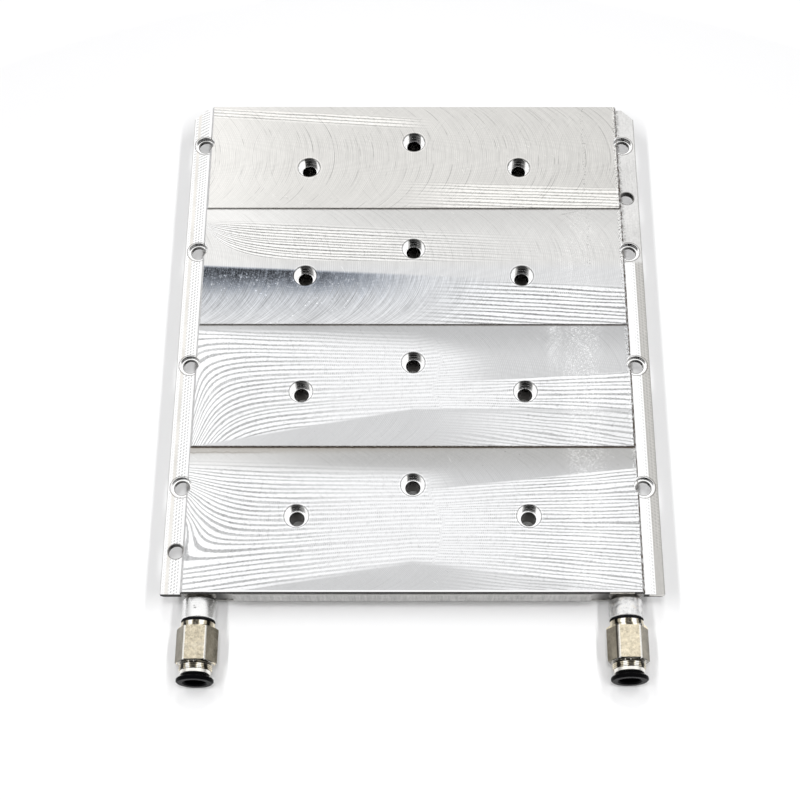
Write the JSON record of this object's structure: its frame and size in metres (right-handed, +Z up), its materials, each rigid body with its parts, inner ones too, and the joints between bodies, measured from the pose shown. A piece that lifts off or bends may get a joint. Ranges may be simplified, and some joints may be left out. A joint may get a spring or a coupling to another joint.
{
  "type": "liquid cooling cold plate",
  "caption": "Flat machined aluminium liquid cold plate with flanged sides, counterbored through holes and push-in tube fittings on round port stubs.",
  "frame": {"origin": "centre of the flat underside of the plate", "axes": "+X across the plate to the right port, +Y away from the ports towards the back edge, +Z up out of the raised field"},
  "size_m": [0.192, 0.2545, 0.018],
  "materials": {
    "machined_aluminium": "face milled, with crossing cutter arcs",
    "cover_aluminium": "milled sheet",
    "stub_aluminium": "turned, a little smeared",
    "seal_rubber": "black nitrile",
    "plated_brass": "nickel plated brass with a champagne tint",
    "spacer_plastic": "natural moulded plastic",
    "spring_steel": "stamped stainless spring steel",
    "ring_brass": "nickel plated brass",
    "sleeve_plastic": "black moulded acetal"
  },
  "bodies": {
    "plate": {"plate_body": "machined_aluminium", "bottom_cover": "cover_aluminium", "left_port_stub": "stub_aluminium", "left_thread_seal": "seal_rubber", "left_fitting_body": "plated_brass", "left_tube_seal": "seal_rubber", "left_seal_spacer": "spacer_plastic", "left_grip_ring": "spring_steel", "left_holder_ring": "ring_brass", "right_port_stub": "stub_aluminium", "right_thread_seal": "seal_rubber", "right_fitting_body": "plated_brass", "right_tube_seal": "seal_rubber", "right_seal_spacer": "spacer_plastic", "right_grip_ring": "spring_steel", "right_holder_ring": "ring_brass"},
    "left_release": {"left_release_sleeve": "sleeve_plastic"},
    "right_release": {"right_release_sleeve": "sleeve_plastic"}
  },
  "joints": [
    {"name": "left_sleeve_push", "type": "slide", "parent": "plate", "child": "left_release", "axis": [0, 1, 0], "range_m": [0, 0.0011], "stiffness_N_per_m": 1500},
    {"name": "right_sleeve_push", "type": "slide", "parent": "plate", "child": "right_release", "axis": [0, 1, 0], "range_m": [0, 0.0011], "stiffness_N_per_m": 1500}
  ]
}
